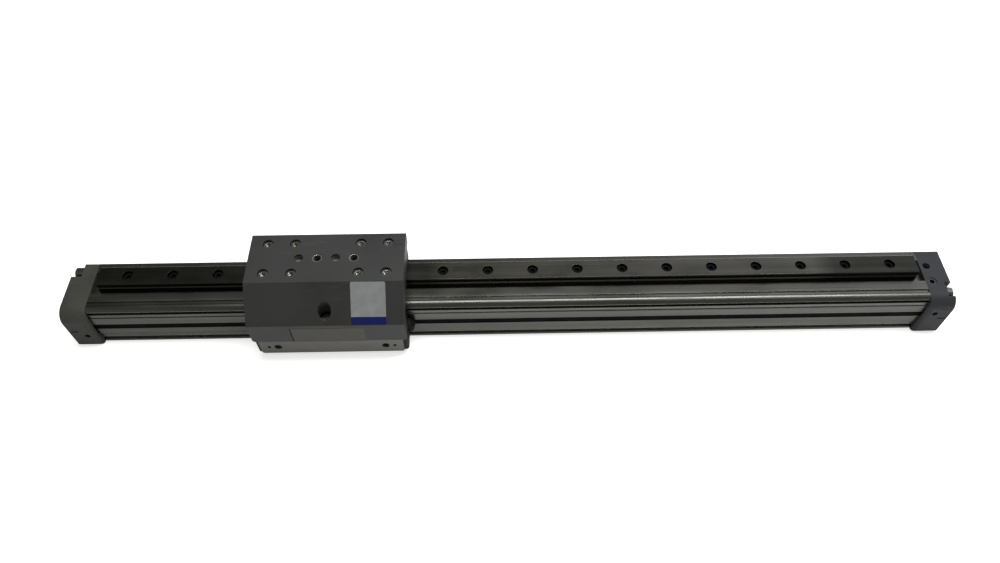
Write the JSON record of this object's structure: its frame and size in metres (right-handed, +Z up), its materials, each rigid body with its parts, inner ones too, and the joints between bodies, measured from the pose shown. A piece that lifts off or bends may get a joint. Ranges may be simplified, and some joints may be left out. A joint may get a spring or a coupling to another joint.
{
  "type": "rodless pneumatic cylinder with linear guide",
  "caption": "Slot-type rodless pneumatic cylinder: extruded barrel with dark end caps and a carriage that the piston drives along a miniature ball guide rail.",
  "frame": {"origin": "middle of the surface that the barrel lies on, halfway along the cylinder", "axes": "+X along the stroke, -Y towards the piston slot and the yoke, +Z up through the guide rail"},
  "size_m": [0.494, 0.0498, 0.049],
  "materials": {
    "anodised_profile": "natural anodised extrusion",
    "rail_steel": "hardened ground steel, oiled",
    "dark_casting": "satin dark grey coating",
    "dark_anodised": "satin dark grey anodised aluminium",
    "bare_aluminium": "machined, untreated",
    "block_steel": "ground bearing steel",
    "bright_steel": "zinc plated",
    "dark_steel": "black oxide",
    "ball_steel": "polished",
    "black_plastic": "moulded",
    "green_plastic": "moulded, low friction",
    "seal_rubber": "nitrile",
    "magnet": "plastic-bonded ferrite",
    "brass": "turned",
    "band_plastic": "flexible black band",
    "band_steel": "spring steel strip",
    "plate_print": "blank silver plate"
  },
  "bodies": {
    "barrel": {"barrel_profile": "anodised_profile", "guide_rail": "rail_steel", "rail_screws": "dark_steel", "end_cap_left": "dark_casting", "end_cap_right": "dark_casting", "end_cap_screws_left": "bright_steel", "end_cap_screws_right": "bright_steel", "end_cap_seal_left": "seal_rubber", "end_cap_seal_right": "seal_rubber", "cushion_spigot_left": "brass", "cushion_spigot_right": "brass", "port_plugs": "dark_steel", "outer_band": "band_plastic", "inner_band": "band_steel", "band_clamps": "dark_steel", "band_clamp_screws": "dark_steel"},
    "carriage": {"piston_core": "bare_aluminium", "neck_pins": "bright_steel", "piston_head_left": "green_plastic", "piston_head_right": "green_plastic", "piston_seal_left": "seal_rubber", "piston_seal_right": "seal_rubber", "piston_magnet_left": "magnet", "piston_magnet_right": "magnet", "wear_ring_left": "green_plastic", "wear_ring_right": "green_plastic", "cushion_seal_left": "seal_rubber", "cushion_seal_right": "seal_rubber", "yoke": "bare_aluminium", "driver_block": "bare_aluminium", "driver_screw": "bright_steel", "wiper_left": "black_plastic", "wiper_right": "black_plastic", "bearing_block_left": "block_steel", "bearing_block_right": "block_steel", "bearing_balls_left": "ball_steel", "bearing_balls_right": "ball_steel", "block_end_caps_left": "black_plastic", "block_end_caps_right": "black_plastic", "block_end_seals_left": "seal_rubber", "block_end_seals_right": "seal_rubber", "slide_plate": "dark_anodised", "slide_screws": "bright_steel", "thread_inserts": "bright_steel", "name_plate": "plate_print"},
    "left_cushion_screw": {"cushion_screw_left": "bright_steel"},
    "right_cushion_screw": {"cushion_screw_right": "bright_steel"}
  },
  "joints": [
    {"name": "carriage_slide", "type": "slide", "parent": "barrel", "child": "carriage", "axis": [1, 0, 0], "range_m": [-0.0755, 0.2745], "deforming": ["outer_band", "inner_band"]},
    {"name": "left_cushion_turn", "type": "hinge", "parent": "barrel", "child": "left_cushion_screw", "pos_m": [-0.24645, 0.0172, 0.02555], "axis": [-1, 0, 0], "range_deg": [0, 1080]},
    {"name": "right_cushion_turn", "type": "hinge", "parent": "barrel", "child": "right_cushion_screw", "pos_m": [0.24645, 0.0172, 0.00475], "axis": [1, 0, 0], "range_deg": [0, 1080]}
  ]
}
